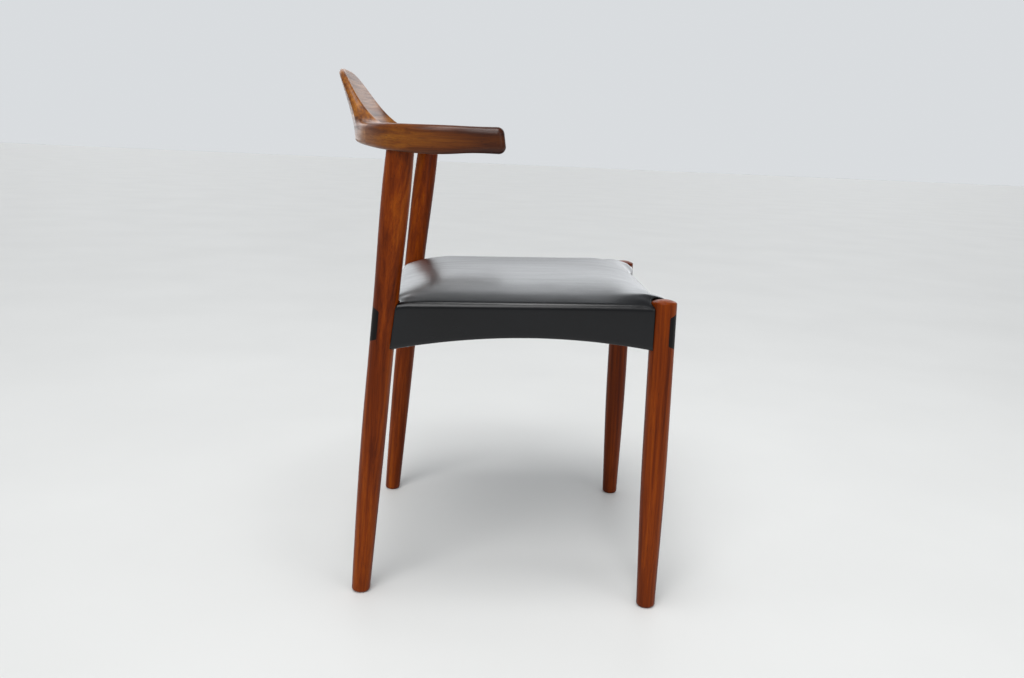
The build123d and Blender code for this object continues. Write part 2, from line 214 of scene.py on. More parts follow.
def paintedTipShade(tree, tipShade):
    # painted shade, darker and a little redder towards the arm tips
    forward = tree.add("ShaderNodeSeparateXYZ", {0: tree.place()}).outputs["Y"]
    shade = tree.spread(forward, tipShade, 1.0, *grain["tipShadePlace"])
    redder = tree.mathNode("POWER", shade, grain["tipShadeRed"])
    return tree.add("ShaderNodeCombineColor", {0: shade, 1: redder, 2: shade}).outputs[0]


def grainLayer(tree, vector, layer, shift):
    scale, detail, roughness = grain[layer]
    return tree.noise(tree.scaled(vector, scale, shift), 1.0, detail, roughness)


def woodMaterial(name, wood, base=None, turn=(0, 0, 0), shift=(0, 0, 0)):
    # base gives coordinates with Z along the grain, where a plain turn can't
    look = {**woods["plain"], **woods[wood]}
    tree = Tree(name)
    straight = base(tree) if base else tree.place(turn)
    drift = grainLayer(tree, straight, "drift", shift)
    pushX, pushY = (tree.spread(drift, -push, push) for push in grain["driftPush"])
    push = tree.add("ShaderNodeCombineXYZ", {"X": pushX, "Y": pushY}).outputs[0]
    wavy = tree.add("ShaderNodeVectorMath", {0: straight, 1: push}, operation="ADD").outputs[0]
    layers = ("growth", "streak", "fibre", "pore")
    growth, streak, fibre, pore = (grainLayer(tree, wavy, layer, shift) for layer in layers)
    poreMask = tree.spread(pore, 1.0, 0.0, *grain["poreCut"])
    bands = tree.weighted((growth, streak), grain["bandShares"])
    colors = [srgb(*color) for color in look["tones"]]
    tone = tree.ramp(bands, tuple(zip(grain["toneStops"], colors)))
    fine = tree.mix(grain["fibreShare"], tone, tree.ramp(fibre, grain["fibreShade"]), "MULTIPLY")
    color = tree.mix(tree.mathNode("MULTIPLY", poreMask, look["pores"]), fine, grain["poreColor"])
    # painted shade on the arms, darker towards their tips
    if look["tipShade"] < 1:
        color = tree.mix(1.0, color, paintedTipShade(tree, look["tipShade"]), "MULTIPLY")
    glossy, dull = look["gloss"]
    rough = tree.spread(streak, dull, glossy, *grain["glossCut"])
    height = tree.weighted((fibre, poreMask), grain["heightShares"])
    tree.shader.inputs["Specular IOR Level"].default_value = look["shine"]
    return tree.finish(color, rough, height, look["relief"], grain["bumpDepth"])


legTilt = {"front": (0.008, 0.022), "rear": (-0.07, 0.03)}  # lean about X, and about Y on the left
for end, (lean, splay) in legTilt.items():
    for side, sign in sides.items():
        # each leg is cut from another stretch of the wood
        shift = (3.1 * sign + (7.4 if end == "rear" else 0), 1.7 * sign, 0.3 * sign)
        turn = (lean, splay * sign, 0)
        legWood = woodMaterial(f"teakLeg_{end}_{side}", "teakLeg", turn=turn, shift=shift)
        dress(f"{end}_leg_{side}", legWood)
        blockWood = woodMaterial(f"ebonisedBlock_{end}_{side}", "ebonised", shift=shift)
        dress(f"bolt_cover_{end}_{side}", blockWood)
dress("back_crest", woodMaterial("teakBack", "teakBack", hornPlace, shift=(2.2, 0.1, 0)))
for side, sign in sides.items():
    armWood = woodMaterial(f"teakArm_{side}", "teakArm", hornPlace, shift=(4.31 * sign, 0.2, 0.5))
    dress(f"arm_{side}", armWood)

quarterTurn = math.radians(90)
beech = woodMaterial("beechFrame", "beech", turn=(0, quarterTurn, 0))
beechSide = woodMaterial("beechSideRail", "beech", turn=(quarterTurn, 0, 0))
for name in ("front_rail", "rear_rail", "rail_dowels", "crest_dowels"):
    dress(name, beech)
for side in sides:
    dress(f"side_rail_{side}", beechSide)
    for end in ("front", "rear"):
        dress(f"corner_block_{end}_{side}", beech)
print("wood finished")


# fasteners, webbing and cloth

steelLook = {
    "brush": (60, 900, 900),  # fine lines along X
    "cloud": 180.0,
    "shade": 0.75,  # of the colour, in the darker clouds
    "relief": 0.1,
    "bumpDepth": 0.0002,
}
steels = {
    "zincSteel": {"color": (0.52, 0.53, 0.55, 1), "roughness": (0.30, 0.48)},
    "bluedSteel": {"color": (0.09, 0.095, 0.12, 1), "roughness": (0.34, 0.52)},
}


def steelMaterial(name):
    color = steels[name]["color"]
    tree = Tree(name)
    brushed = tree.noise(tree.place(scale=steelLook["brush"]), 1.0, 4.0)
    cloudy = tree.noise(tree.place(), steelLook["cloud"], 3.0)
    shaded = tuple(steelLook["shade"] * part for part in color[:3]) + (1,)
    tint = tree.ramp(cloudy, ((0.3, shaded), (0.7, color)))
    rough = tree.spread(brushed, *steels[name]["roughness"])
    tree.shader.inputs["Metallic"].default_value = 1.0
    return tree.finish(tint, rough, brushed, steelLook["relief"], steelLook["bumpDepth"])


zinc = steelMaterial("zincSteel")
blued = steelMaterial("bluedSteel")
for name in ("frame_bolts", "bolt_washers", "barrel_nuts", "corner_screws"):
    dress(name, zinc)


wovenLook = {"cloud": 40.0, "sheen": 0.15, "relief": 0.4, "bumpDepth": 0.0006}
wovens = {
    "juteWebbing": {
        "thread": 130,
        "dark": srgb(96, 76, 48),
        "light": srgb(172, 144, 102),
        "roughness": (0.8, 0.9),
    },
    "dustCloth": {
        "thread": 420,
        "dark": srgb(12, 12, 13),
        "light": srgb(42, 42, 45),
        "roughness": (0.82, 0.92),
    },
}


def wovenMaterial(name):
    look = wovens[name]
    tree = Tree(name)
    threads = []
    for direction in ("X", "Y"):
        wave = {"Vector": tree.place(), "Scale": look["thread"]}
        threads.append(tree.add("ShaderNodeTexWave", wave, bands_direction=direction).outputs["Fac"])
    weave = tree.mathNode("MULTIPLY", *threads)
    cloudy = tree.noise(tree.place(), wovenLook["cloud"], 4.0)
    shaded = tree.mathNode("MULTIPLY", weave, cloudy)
    tone = tree.ramp(shaded, ((0.05, look["dark"]), (0.5, look["light"])))
    rough = tree.spread(cloudy, *look["roughness"])
    tree.shader.inputs["Sheen Weight"].default_value = wovenLook["sheen"]
    return tree.finish(tone, rough, weave, wovenLook["relief"], wovenLook["bumpDepth"])


jute = wovenMaterial("juteWebbing")
cambric = wovenMaterial("dustCloth")
for name in ("webbing_across", "webbing_along"):
    dress(name, jute)
print("fasteners and webbing finished")


# black seat leather

leatherLook = {
    "grain": 1100.0,  # cells per metre
    "grainEdge": 0.28,
    "cloud": (9.0, 5.0, 0.55),  # scale, detail, roughness
    "crease": (60.0, 5.0, 0.6),
    "dust": (520.0, 2.0, 0.6),
    "dustCut": (0.66, 0.8),
    "dustShare": 0.35,
    "scuff": (110, 9, 110),  # drawn out from front to rear
    "scuffCut": (0.3, 0.7),
    "dark": srgb(5, 5, 7),
    "light": srgb(10, 11, 15),
    "rub": srgb(40, 41, 44),
    "roughness": (0.27, 0.35),
    "scuffRoughness": (-0.035, 0.045),
    "heightShares": (0.3, 0.7),  # of grain and creases
    "shader": {"IOR": 1.27, "Coat Weight": 1.0, "Coat IOR": 1.3, "Coat Roughness": 0.24},
    "relief": 0.12,
    "bumpDepth": 0.0005,
}


def leatherMaterial(look):
    tree = Tree("blackLeather")
    base = tree.place()
    cell = {"Vector": base, "Scale": look["grain"]}
    cells = tree.add("ShaderNodeTexVoronoi", cell, feature="DISTANCE_TO_EDGE")
    pebble = tree.spread(cells.outputs["Distance"], 0.0, 1.0, 0.0, look["grainEdge"])
    cloudy = tree.noise(base, *look["cloud"])
    crease = tree.noise(base, *look["crease"])
    scuff = tree.noise(tree.place(scale=look["scuff"]), 1.0, 4.0, 0.6)
    dust = tree.noise(base, *look["dust"])
    tone = tree.ramp(cloudy, ((0.3, look["dark"]), (0.7, look["light"])))
    dustMask = tree.spread(dust, 0.0, look["dustShare"], *look["dustCut"])
    dusty = tree.mix(dustMask, tone, look["rub"])
    scuffed = tree.spread(scuff, *look["scuffRoughness"], *look["scuffCut"])
    rough = tree.mathNode("ADD", tree.spread(cloudy, *look["roughness"]), scuffed)
    height = tree.weighted((pebble, crease), look["heightShares"])
    for socket, value in look["shader"].items():
        tree.shader.inputs[socket].default_value = value
    return tree.finish(dusty, rough, height, look["relief"], look["bumpDepth"])


blackLeather = leatherMaterial(leatherLook)

seat = {
    "edgeFront": 0.4435,  # upper side edge above the front legs
    "edgeFrontY": -0.231,
    "slope": 0.0268,
    "edgeLift": 0.001,
    "crown": 0.027,
    "fullness": 3.0,  # 2 is an even arc from side to side, more is flatter in the middle
    "shoulder": 0.0105,
    "frontStart": -0.16,  # where the front roll-over begins
    "frontFall": (0.052, 0.002),  # of the middle and of the corners
    "rearStart": 0.072,
    "rearFall": (0.0435, 0.011),
    "archRadius": 0.964,
    "archY": -0.0724,
    "archZ": -0.5736,
    "turnUnder": 0.024,
    "thickness": 0.0013,
    "shrink": 0.0015,  # the pad starts a little low and swells in the simulation
    "legGap": 0.0004,
    "panelHeight": 0.4,  # half-way up a side panel
    "panelEnd": {"front": 0.0125, "rear": -0.0115},  # from a leg's axis to the end of the side panel
    "leanBand": (0.045, 0.03),  # the lean of the legs fades over this inset and width
    "leanReach": 0.12,
    "endRound": 0.004,  # the panel ends turn in towards the legs
    "endSlack": 0.0001,
    "endBand": 0.02,
    "endColumns": (0.0, 0.0005, 0.0013, 0.0024, 0.004),
    "columnGap": 0.0014,
    "faceTurn": 0.6,  # from here a normal belongs to the front or rear face
    "faceReach": 0.012,  # rims this near to a leg close on it, on the front and rear faces
    "rimReach": 0.004,  # and elsewhere
    "merge": 0.00002,
    "rimMerge": 0.00005,
    "steps": {"under": 4, "side": 12, "shoulder": 8, "over": 40, "along": 40, "roll": 20, "drop": 10},
    "swell": {
        "frames": 20,
        "quality": 6,
        "mass": 0.3,
        "pressure": 4.0,
        "stretch": 30,
        "bending": 4,
        "cap": 0.003,  # largest move that is kept
        "heldInset": 0.008,
        "heldFade": 0.045,
        "heldLeg": 0.02,
    },
    "corner": {
        "lift": 0.0072,  # the top is drawn up beside the front legs
        "bulge": 0.0112,  # and the front face stands out beside them
        "reach": 0.034,
        "inset": 0.006,  # neither reaches the sides
        "insetFade": 0.026,
        "tuckDepth": 0.002,
        "tuckReach": 0.004,
        "foldHeight": 0.0004,
        "foldCount": 9,
        "foldPlace": 0.012,
        "foldWidth": 0.011,
        "uneven": ((0.0003, 14), (0.0001, 45)),  # height and scale
        "sideUneven": 0.4,  # share of it that is left on the sides
        "sideFill": 0.0003,
    },
}
legAxis = {  # of the left legs: place at the floor and change with height
    "front": {"x": (0.2310, -0.02244), "y": (-0.2354, 0.00778, 0.0), "radius": 0.0176},
    "rear": {"x": (0.2115, 0.0225), "y": (0.181, -0.0619, -0.0256), "radius": 0.0175},
    "rearFlare": {"start": 0.34, "length": 0.305, "reach": 0.0242, "power": 1.6},  # outwards, higher up
}
coverLow, coverHigh = (Vector(corner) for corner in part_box("leather_cover"))


def clamped(value):
    return max(0.0, min(1.0, value))


def seatArch(y):
    return seat["archZ"] + math.sqrt(seat["archRadius"] ** 2 - (y - seat["archY"]) ** 2)


def legCentre(end, z):
    # axis of a left leg and its radius at a height
    axis = legAxis[end]
    x = axis["x"][0] + axis["x"][1] * z
    y = axis["y"][0] + axis["y"][1] * z + axis["y"][2] * z * z
    if end == "rear":
        flare = legAxis["rearFlare"]
        bend = max(0.0, z - flare["start"]) / flare["length"]
        x += flare["reach"] * bend ** flare["power"]
    return x, y, axis["radius"]


def nearEnd(y):
    return "front" if y < 0 else "rear"


def panelEnd(end, z=seat["panelHeight"]):
    return legCentre(end, z)[1] + seat["panelEnd"][end]


def seatFall(y):
    # how far the middle and the corners have dropped on the rolled edges
    if y < seat["frontStart"]:
        reach = (seat["frontStart"] - y) / (seat["frontStart"] - coverLow.y)
        middle, corner = seat["frontFall"]
    else:
        reach = max(0.0, y - seat["rearStart"]) / (coverHigh.y - seat["rearStart"])
        middle, corner = seat["rearFall"]
    roll = 1 - math.sqrt(max(0.0, 1 - reach * reach))
    return middle * roll + seat["shrink"] * (1 - roll), corner * roll * roll


def seatSection(y):
    # one cross-section from the turned-under left edge over the top to the right edge
    steps = seat["steps"]
    middleFall, cornerFall = seatFall(y)
    half = coverHigh.x
    edge = seat["edgeFront"] - seat["slope"] * (y - seat["edgeFrontY"])
    top = edge + seat["edgeLift"] - cornerFall
    rise = edge + seat["crown"] - middleFall - top
    bottom = seatArch(y)
    corner = seat["shoulder"]
    lean = math.atan(seat["fullness"] * rise / (half - corner))
    reach = half - corner * (1 - math.sin(lean))
    start = top - corner * math.cos(lean)
    side = []
    for step in range(steps["under"] + 1):
        side.append((half - seat["turnUnder"] * (1 - step / steps["under"]), bottom))
    for step in range(1, steps["side"] + 1):
        side.append((half, bottom + (start - bottom) * step / steps["side"]))
    for step in range(1, steps["shoulder"]):
        angle = (math.pi / 2 - lean) * step / steps["shoulder"]
        side.append((half - corner + corner * math.cos(angle), start + corner * math.sin(angle)))
    over = []
    for step in range(steps["over"] + 1):
        x = reach * (1 - step / steps["over"])
        over.append((x, top + rise * (1 - (x / reach) ** seat["fullness"])))
    right = side + over
    left = [(-x, z) for x, z in reversed(right[:-1])]
    return right + left, len(side), len(side) + 2 * len(over) - 1


def seatStations():
    # places from front to rear, closer on the rolled edges and at the ends of the side panels
    front, rear = seat["frontStart"], seat["rearStart"]
    along, roll = seat["steps"]["along"], seat["steps"]["roll"]
    places = [front + (rear - front) * step / along for step in range(along + 1)]
    for step in range(1, roll + 1):
        swing = math.sin(math.radians(90 * step / roll))
        places += [front - (front - coverLow.y) * swing, rear + (coverHigh.y - rear) * swing]
    columns = []
    for offset in seat["endColumns"]:
        columns += [panelEnd("front") + offset, panelEnd("rear") - offset]
    spaced = [y for y in places if min(abs(y - column) for column in columns) > seat["columnGap"]]
    return sorted(spaced + columns)


def seatShell():
    mesh = bmesh.new()
    rows = []
    for y in seatStations():
        section, first, last = seatSection(y)
        rows.append([mesh.verts.new((x, y, z)) for x, z in section])
    for rowA, rowB in zip(rows, rows[1:]):
        middle = (rowA[0].co.y + rowB[0].co.y) / 2
        besideLegs = panelEnd("front") < middle < panelEnd("rear")
        span = range(len(rowA) - 1) if besideLegs else range(first, last - 1)
        for index in span:
            mesh.faces.new((rowA[index], rowB[index], rowB[index + 1], rowA[index + 1]))
    # front and rear faces hang down from the rolled edges and turn under
    drop, under = seat["steps"]["drop"], seat["steps"]["under"]
    for row, inward in ((rows[0], 1), (rows[-1], -1)):
        edge = row[first:last]
        y = edge[0].co.y
        above = edge
        levels = [(y, part / drop) for part in range(1, drop + 1)]
        levels += [(y + inward * seat["turnUnder"] * part / under, 1.0) for part in range(1, under + 1)]
        for levelY, part in levels:
            below = []
            for vertex in edge:
                z = vertex.co.z + (seatArch(levelY) - vertex.co.z) * part
                below.append(mesh.verts.new((vertex.co.x, levelY, z)))
            for index in range(len(edge) - 1):
                mesh.faces.new((above[index], above[index + 1], below[index + 1], below[index]))
            above = below
    dropLoose(mesh)
    bmesh.ops.remove_doubles(mesh, verts=mesh.verts, dist=seat["merge"])
    bmesh.ops.recalc_face_normals(mesh, faces=mesh.faces)
    return mesh


def dropLoose(mesh):
    loose = [vertex for vertex in mesh.verts if not vertex.link_faces]
    bmesh.ops.delete(mesh, geom=loose, context="VERTS")


def fitPanels(mesh):
    # the ends of the side panels follow the lean of the legs, and turn in before them
    mesh.normal_update()
    normals = {vertex: vertex.normal.copy() for vertex in mesh.verts}
    inset, width = seat["leanBand"]
    endRound = seat["endRound"]
    for vertex, normal in normals.items():
        nearSide = clamped((abs(vertex.co.x) - coverHigh.x + inset) / width)
        for end, inward in (("front", 1), ("rear", -1)):
            inside = (vertex.co.y - panelEnd(end)) * inward
            lean = panelEnd(end, vertex.co.z) - panelEnd(end)
            vertex.co.y += nearSide * lean * clamped(1 - abs(inside) / seat["leanReach"]) ** 2
            atEnd = -seat["endSlack"] < inside < endRound
            if atEnd and abs(vertex.co.x) > coverHigh.x - seat["endBand"]:
                turned = endRound - max(0.0, inside)
                vertex.co -= normal * (endRound - math.sqrt(endRound**2 - turned**2))


def nearestLeg(point):
    # distance to the surface of the nearest leg, direction away from it, and the spot on its surface
    side = 1 if point.x >= 0 else -1
    x, y, radius = legCentre(nearEnd(point.y), point.z)
    across = Vector((point.x - side * x, point.y - y, 0))
    away = across.normalized()
    return across.length - radius, away, Vector((side * x, y, point.z)) + away * radius


def behindLeg(point):
    # the little corner that the rear legs cut off
    x, y = legCentre("rear", point.z)[:2]
    return abs(point.x) > x and point.y > y


def trimAtLegs(mesh):
    # faces whose middle lies in a leg go, and the new rim is drawn on to the leg
    covered = []
    for face in mesh.faces:
        middle = face.calc_center_median()
        if nearestLeg(middle)[0] < seat["legGap"] or behindLeg(middle):
            covered.append(face)
    bmesh.ops.delete(mesh, geom=covered, context="FACES")
    dropLoose(mesh)
    drawToLegs(mesh)


def drawToLegs(mesh):
    # the ends of the front and rear faces close sideways on the legs, other rims close straight on them
    mesh.normal_update()
    for vertex in mesh.verts:
        distance, away, spot = nearestLeg(vertex.co)
        x, y, radius = legCentre(nearEnd(vertex.co.y), vertex.co.z)
        onFace = abs(vertex.normal.y) > seat["faceTurn"]
        faceEnd = vertex.is_boundary and onFace and abs(vertex.co.x) < x
        if faceEnd and distance < seat["faceReach"]:
            reach = math.sqrt(max(0.0, (radius + seat["legGap"]) ** 2 - (vertex.co.y - y) ** 2))
            vertex.co.x = math.copysign(x - reach, vertex.co.x)
        elif distance < seat["legGap"] or (vertex.is_boundary and distance < seat["rimReach"]):
            vertex.co = spot + away * seat["legGap"]
    bmesh.ops.remove_doubles(mesh, verts=mesh.verts, dist=seat["rimMerge"])


def swell(piece, held):
    # air pressure under the leather, held along its edges
    swelling = seat["swell"]
    before = [vertex.co.copy() for vertex in piece.data.vertices]
    group = piece.vertex_groups.new(name="heldEdges")
    for index, weight in enumerate(held):
        group.add([index], weight, "REPLACE")
    air = piece.modifiers.new("swell", "CLOTH")
    air.settings.quality = swelling["quality"]
    air.settings.mass = swelling["mass"]
    air.settings.use_pressure = True
    air.settings.uniform_pressure_force = swelling["pressure"]
    air.settings.tension_stiffness = swelling["stretch"]
    air.settings.compression_stiffness = swelling["stretch"]
    air.settings.bending_stiffness = swelling["bending"]
    air.settings.effector_weights.gravity = 0
    air.settings.vertex_group_mass = group.name
    air.point_cache.frame_start = 1
    air.point_cache.frame_end = swelling["frames"]
    for step in range(1, swelling["frames"] + 1):
        scene.frame_set(step)
    depsgraph = bpy.context.evaluated_depsgraph_get()
    moved = [vertex.co.copy() for vertex in piece.evaluated_get(depsgraph).data.vertices]
    piece.modifiers.remove(air)
    scene.frame_set(1)
    steps = [end - start for start, end in zip(before, moved)]
    largest = max(step.length for step in steps)
    share = min(1.0, swelling["cap"] / largest)
    for vertex, start, step, weight in zip(piece.data.vertices, before, steps, held):
        vertex.co = start + step * share * (1 - weight)
    print(f"seat leather swelled, largest move {largest * 1000:.1f} mm, kept {share:.2f} of it")


def heldWeight(point):
    # sides and hanging edges are fast to the frame; the top is free
    swelling = seat["swell"]
    inset = min(coverHigh.x - abs(point.x), point.y - coverLow.y, coverHigh.y - point.y)
    atEdge = 1 - (inset - swelling["heldInset"]) / swelling["heldFade"]
    atLeg = 1 - nearestLeg(point)[0] / swelling["heldLeg"]
    held = clamped(max(atEdge, atLeg))
    return held * held * (3 - 2 * held)


def shapeCorners(data):
    # leather drawn up and tucked in beside the legs, small folds round them, and a slight unevenness
    shape = seat["corner"]
    normals = [vertex.normal.copy() for vertex in data.vertices]
    for vertex, normal in zip(data.vertices, normals):
        distance, away = nearestLeg(vertex.co)[:2]
        distance = max(0.0, distance)
        top = max(0.0, normal.z)
        inner = clamped((coverHigh.x - abs(vertex.co.x) - shape["inset"]) / shape["insetFade"])
        corner = math.exp(-((distance / shape["reach"]) ** 2)) if vertex.co.y < 0 else 0.0
        lift = shape["lift"] * inner * corner
        tuck = shape["tuckDepth"] * math.exp(-distance / shape["tuckReach"])
        wave = math.sin(shape["foldCount"] * math.atan2(away.y, away.x))
        fade = math.exp(-((distance - shape["foldPlace"]) / shape["foldWidth"]) ** 2)
        folds = shape["foldHeight"] * wave * fade
        uneven = sum(size * noise.noise(vertex.co * scale) for size, scale in shape["uneven"])
        vertex.co.z += top * (lift - tuck)
        vertex.co.y -= shape["bulge"] * inner * corner * max(0.0, -normal.y)
        least = shape["sideUneven"]
        fill = shape["sideFill"] * (1 - top)
        vertex.co += normal * (folds * top + uneven * (least + (1 - least) * top) + fill)


def seatLeather():
    mesh = seatShell()
    fitPanels(mesh)
    trimAtLegs(mesh)
    data = bpy.data.meshes.new("seatLeather")
    mesh.to_mesh(data)
    mesh.free()
    piece = bpy.data.objects.new("seatLeather", data)
    scene.collection.objects.link(piece)
    held = [heldWeight(vertex.co) for vertex in data.vertices]
    swell(piece, held)
    shapeCorners(data)
    mesh = bmesh.new()
    mesh.from_mesh(data)
    drawToLegs(mesh)
    mesh.to_mesh(data)
    mesh.free()
    for polygon in data.polygons:
        polygon.use_smooth = True
    data.materials.append(blackLeather)
    smooth = piece.modifiers.new("smooth", "SUBSURF")
    smooth.levels = 1
    smooth.render_levels = 1
    wall = piece.modifiers.new("thickness", "SOLIDIFY")
    wall.thickness = seat["thickness"]
    wall.offset = -1
    return piece


leatherPiece = seatLeather()
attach(leatherPiece, "root")
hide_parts("leather_cover", "foam_pad")
print("seat leather made")


# dust cloth under the seat

dust = {
    "sag": 0.003,
    "thickness": 0.0006,
    "across": 44,
    "along": 38,
    "lift": 0.0001,
    "ripple": 0.0006,
    "rippleScale": 30,
    "ripplePlace": 4,
    "rippleFade": 8,
    "sagFade": 4,
}


def fromEdge(part, steepness):
    # 0 at both edges, 1 in the middle
    return min(1, steepness * min(part, 1 - part))


def dustHeight(x, y, share, part):
    spot = Vector((x * dust["rippleScale"], y * dust["rippleScale"], dust["ripplePlace"]))
    flat = min(fromEdge(value, dust["rippleFade"]) for value in (part, share))
    ripple = dust["ripple"] * noise.noise(spot) * flat
    sag = dust["sag"] * fromEdge(part, dust["sagFade"]) ** 2 * fromEdge(share, dust["sagFade"]) ** 2
    return seatArch(y) - dust["lift"] - sag + ripple


def dustCloth():
    low, high = (Vector(corner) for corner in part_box("dust_cover"))
    mesh = bmesh.new()
    grid = []
    for row in range(dust["along"] + 1):
        part = row / dust["along"]
        y = low.y + (high.y - low.y) * part
        line = []
        for column in range(dust["across"] + 1):
            share = column / dust["across"]
            x = low.x + (high.x - low.x) * share
            line.append(mesh.verts.new((x, y, dustHeight(x, y, share, part))))
        grid.append(line)
    for lineA, lineB in zip(grid, grid[1:]):
        for index in range(dust["across"]):
            mesh.faces.new((lineA[index], lineB[index], lineB[index + 1], lineA[index + 1]))
    trimAtLegs(mesh)
    data = bpy.data.meshes.new("dustCloth")
    mesh.to_mesh(data)
    mesh.free()
    for polygon in data.polygons:
        polygon.use_smooth = True
    data.materials.append(cambric)
    piece = bpy.data.objects.new("dustCloth", data)
    scene.collection.objects.link(piece)
    wall = piece.modifiers.new("thickness", "SOLIDIFY")
    wall.thickness = dust["thickness"]
    wall.offset = 0
    return piece, (high.x - low.x, high.y - low.y)


dustPiece, dustSize = dustCloth()
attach(dustPiece, "root")
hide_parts("dust_cover")
print("dust cloth made")


# tack heads along the rails, one group of nodes

tack = {
    "count": 11,
    "pitch": 0.030,
    "radius": 0.0031,
    "dome": 0.0011,
    "tilt": 0.06,
    "seed": 4,
    "segments": 20,
    "rings": 10,
    "drop": 0.0008,  # below the arch of the rails
    "rows": (  # first tack, and the direction of the row
        ((-0.222, -0.180), (0, 1)),
        ((0.222, -0.180), (0, 1)),
        ((-0.150, -0.22325), (1, 0)),
        ((-0.150, 0.15425), (1, 0)),
    ),
}


def tackSpots():
    # a bare mesh with one vertex per tack, on the arch below the rails
    mesh = bmesh.new()
    for (startX, startY), (alongX, alongY) in tack["rows"]:
        for step in range(tack["count"]):
            x = startX + alongX * step * tack["pitch"]
            y = startY + alongY * step * tack["pitch"]
            mesh.verts.new((x, y, seatArch(y) - tack["drop"]))
    data = bpy.data.meshes.new("tackHeads")
    mesh.to_mesh(data)
    mesh.free()
    return data


def tackGroup():
    group = bpy.data.node_groups.new("tackRow", "GeometryNodeTree")
    inputs = {
        "Spots": "Geometry",
        "Radius": "Float",
        "Dome": "Float",
        "Tilt": "Float",
        "Seed": "Int",
        "Steel": "Material",
    }
    for name, kind in inputs.items():
        group.interface.new_socket(name, in_out="INPUT", socket_type=f"NodeSocket{kind}")
    group.interface.new_socket("Tacks", in_out="OUTPUT", socket_type="NodeSocketGeometry")
    add = group.nodes.new
    link = group.links.new
    given = add("NodeGroupInput")
    head = add("GeometryNodeMeshUVSphere")
    head.inputs["Segments"].default_value = tack["segments"]
    head.inputs["Rings"].default_value = tack["rings"]
    head.inputs["Radius"].default_value = 1.0
    size = add("ShaderNodeCombineXYZ")
    shape = add("GeometryNodeTransform")
    tilt = add("FunctionNodeRandomValue")
    tilt.data_type = "FLOAT_VECTOR"
    lower = add("ShaderNodeMath")
    lower.operation = "MULTIPLY"
    lower.inputs[1].default_value = -1.0
    place = add("GeometryNodeInstanceOnPoints")
    real = add("GeometryNodeRealizeInstances")
    smooth = add("GeometryNodeSetShadeSmooth")
    coat = add("GeometryNodeSetMaterial")
    done = add("NodeGroupOutput")
    for axis in ("X", "Y"):
        link(given.outputs["Radius"], size.inputs[axis])
    link(given.outputs["Dome"], size.inputs["Z"])
    link(head.outputs["Mesh"], shape.inputs["Geometry"])
    link(size.outputs[0], shape.inputs["Scale"])
    link(given.outputs["Tilt"], lower.inputs[0])
    link(lower.outputs[0], tilt.inputs["Min"])
    link(given.outputs["Tilt"], tilt.inputs["Max"])
    link(given.outputs["Seed"], tilt.inputs["Seed"])
    link(given.outputs["Spots"], place.inputs["Points"])
    link(shape.outputs[0], place.inputs["Instance"])
    link(tilt.outputs["Value"], place.inputs["Rotation"])
    link(place.outputs[0], real.inputs[0])
    link(real.outputs[0], smooth.inputs[0])
    link(smooth.outputs[0], coat.inputs["Geometry"])
    link(given.outputs["Steel"], coat.inputs["Material"])
    link(coat.outputs[0], done.inputs["Tacks"])
    return group


def tackHeads():
    holder = bpy.data.objects.new("tackHolder", tackSpots())
    scene.collection.objects.link(holder)
    group = tackGroup()
    rows = holder.modifiers.new("tacks", "NODES")
    rows.node_group = group
    values = {name.capitalize(): tack[name] for name in ("radius", "dome", "tilt", "seed")}
    values["Steel"] = blued
    for item in group.interface.items_tree:
        if item.in_out == "INPUT" and item.name in values:
            rows[item.identifier] = values[item.name]
    bpy.context.view_layer.update()
    shaped = holder.evaluated_get(bpy.context.evaluated_depsgraph_get())
    data = bpy.data.meshes.new_from_object(shaped)
    bpy.data.objects.remove(holder)
    piece = bpy.data.objects.new("tackHeads", data)
    scene.collection.objects.link(piece)
    return piece


tackPiece = tackHeads()
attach(tackPiece, "root")
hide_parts("cover_tacks")
print("tacks made")


# floor, light and camera

stage = {
    "floor": ((0.3, srgb(221, 221, 219)), (0.7, srgb(225, 225, 223))),
    "floorRoughness": 0.6,
    "size": 30.0,
    "worldLight": 0.55,
    "tint": (0.94, 0.97, 1.0, 1),
    "backTone": 0.74,  # seen behind the object
    "roomTone": 0.24,  # mirrored by the object
    "wallTone": 2.1,  # mirrored too, from a bright wall at +X
    "wallRise": (0.745, 0.88),  # the wall begins here, by the X of a ray's direction
    "wallFoot": 0.2,  # share of its tone that is left near the floor
    "footFall": (0.93, 1.0),
    "lamps": (  # name, kind, place, aim, power, and the angle or width
        ("keyLamp", "SUN", (-1.85, 0.55, 2.1), (0, 0, 0), 1.45, 34),
        ("topLamp", "AREA", (-0.45, 0.1, 2.5), (0, 0, 0.4), 18, 0.9),
        ("fillLamp", "AREA", (-1.8, -1.6, 1.6), (0, 0, 0.45), 8, 1.4),
    ),
}


def floorPlane():
    mesh = bmesh.new()
    bmesh.ops.create_grid(mesh, x_segments=1, y_segments=1, size=stage["size"])
    data = bpy.data.meshes.new("floor")
    mesh.to_mesh(data)
    mesh.free()
    tree = Tree("paleFloor")
    cloudy = tree.noise(tree.place(), 2.0, 3.0)
    tree.links.new(tree.ramp(cloudy, stage["floor"]), tree.shader.inputs["Base Color"])
    tree.shader.inputs["Roughness"].default_value = stage["floorRoughness"]
    data.materials.append(tree.material)
    floor = bpy.data.objects.new("floor", data)
    scene.collection.objects.link(floor)


def lamp(name, kind, spot, aim, power, size):
    light = bpy.data.lights.new(name, kind)
    light.energy = power
    if kind == "SUN":
        light.angle = math.radians(size)
    else:
        light.shape = "DISK"
        light.size = size
    piece = bpy.data.objects.new(name, light)
    piece.location = spot
    piece.rotation_euler = (Vector(aim) - Vector(spot)).to_track_quat("-Z", "Y").to_euler()
    piece.visible_camera = False
    scene.collection.objects.link(piece)


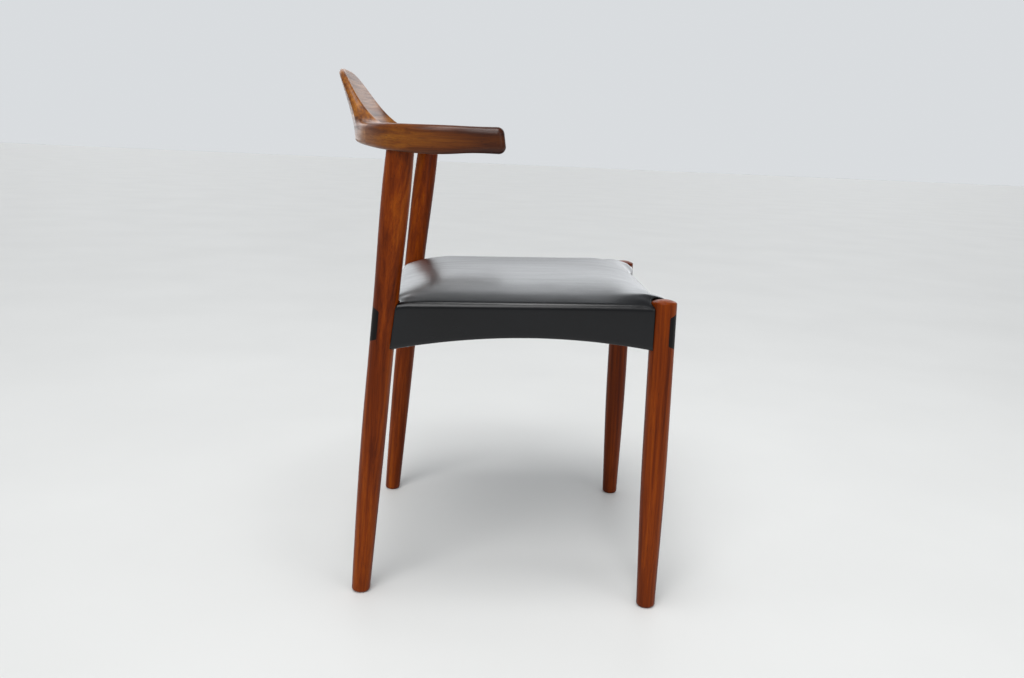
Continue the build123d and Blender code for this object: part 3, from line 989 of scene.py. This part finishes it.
def studioWorld():
    # the object is lit evenly; what it mirrors is a bright wall and a dimmer room
    world = bpy.data.worlds.new("studio")
    world.use_nodes = True
    tree = world.node_tree
    add = tree.nodes.new
    link = tree.links.new

    def ranged(value, fromSpan, toSpan):
        node = add("ShaderNodeMapRange")
        link(value, node.inputs["Value"])
        names = ("From Min", "From Max", "To Min", "To Max")
        for name, number in zip(names, (*fromSpan, *toSpan)):
            node.inputs[name].default_value = number
        return node.outputs[0]

    def joined(operation, first, second):
        node = add("ShaderNodeMath")
        node.operation = operation
        link(first, node.inputs[0])
        link(second, node.inputs[1])
        return node.outputs[0]

    lit = tree.nodes["Background"]
    seen = add("ShaderNodeBackground")
    for light in (lit, seen):
        light.inputs["Color"].default_value = stage["tint"]
    lit.inputs["Strength"].default_value = stage["worldLight"]
    coords = add("ShaderNodeTexCoord")
    parts = add("ShaderNodeSeparateXYZ")
    link(coords.outputs["Generated"], parts.inputs[0])
    wall = ranged(parts.outputs["X"], stage["wallRise"], (stage["roomTone"], stage["wallTone"]))
    foot = ranged(parts.outputs["X"], stage["footFall"], (1.0, stage["wallFoot"]))
    ray = add("ShaderNodeLightPath").outputs
    tone = add("ShaderNodeMix")
    tone.inputs[3].default_value = stage["backTone"]
    link(ray["Is Camera Ray"], tone.inputs[0])
    link(joined("MULTIPLY", wall, foot), tone.inputs[2])
    link(tone.outputs[0], seen.inputs["Strength"])
    choice = add("ShaderNodeMixShader")
    link(joined("MAXIMUM", ray["Is Camera Ray"], ray["Is Glossy Ray"]), choice.inputs[0])
    link(lit.outputs[0], choice.inputs[1])
    link(seen.outputs[0], choice.inputs[2])
    link(choice.outputs[0], tree.nodes["World Output"].inputs["Surface"])
    scene.world = world


camera = {
    "spot": (-1.5073, 0.0030, 0.6495),
    "yaw": -1.239,
    "pitch": 11.581,  # downwards
    "roll": 2.477,
    "focalPixels": 950.0,
    "imageWidth": 1024.0,
    "sensor": 36,
    "clipStart": 0.05,
}


def photoCamera():
    yaw, pitch, roll = (math.radians(camera[key]) for key in ("yaw", "pitch", "roll"))
    level = Vector((math.cos(yaw), math.sin(yaw), 0))
    across = Vector((math.sin(yaw), -math.cos(yaw), 0))
    up = Vector((0, 0, 1))
    forward = math.cos(pitch) * level - math.sin(pitch) * up
    lifted = math.sin(pitch) * level + math.cos(pitch) * up
    right = math.cos(roll) * across + math.sin(roll) * lifted
    top = math.cos(roll) * lifted - math.sin(roll) * across
    lens = bpy.data.cameras.new("photoCamera")
    lens.sensor_width = camera["sensor"]
    lens.lens = camera["focalPixels"] * camera["sensor"] / camera["imageWidth"]
    lens.clip_start = camera["clipStart"]
    piece = bpy.data.objects.new("photoCamera", lens)
    scene.collection.objects.link(piece)
    turn = Matrix((right, top, -forward)).transposed().to_4x4()
    piece.matrix_world = Matrix.Translation(camera["spot"]) @ turn
    scene.camera = piece


floorPlane()
studioWorld()
for settings in stage["lamps"]:
    lamp(*settings)
photoCamera()
scene.view_settings.view_transform = "Standard"
print("stage set")

bpy.context.view_layer.update()
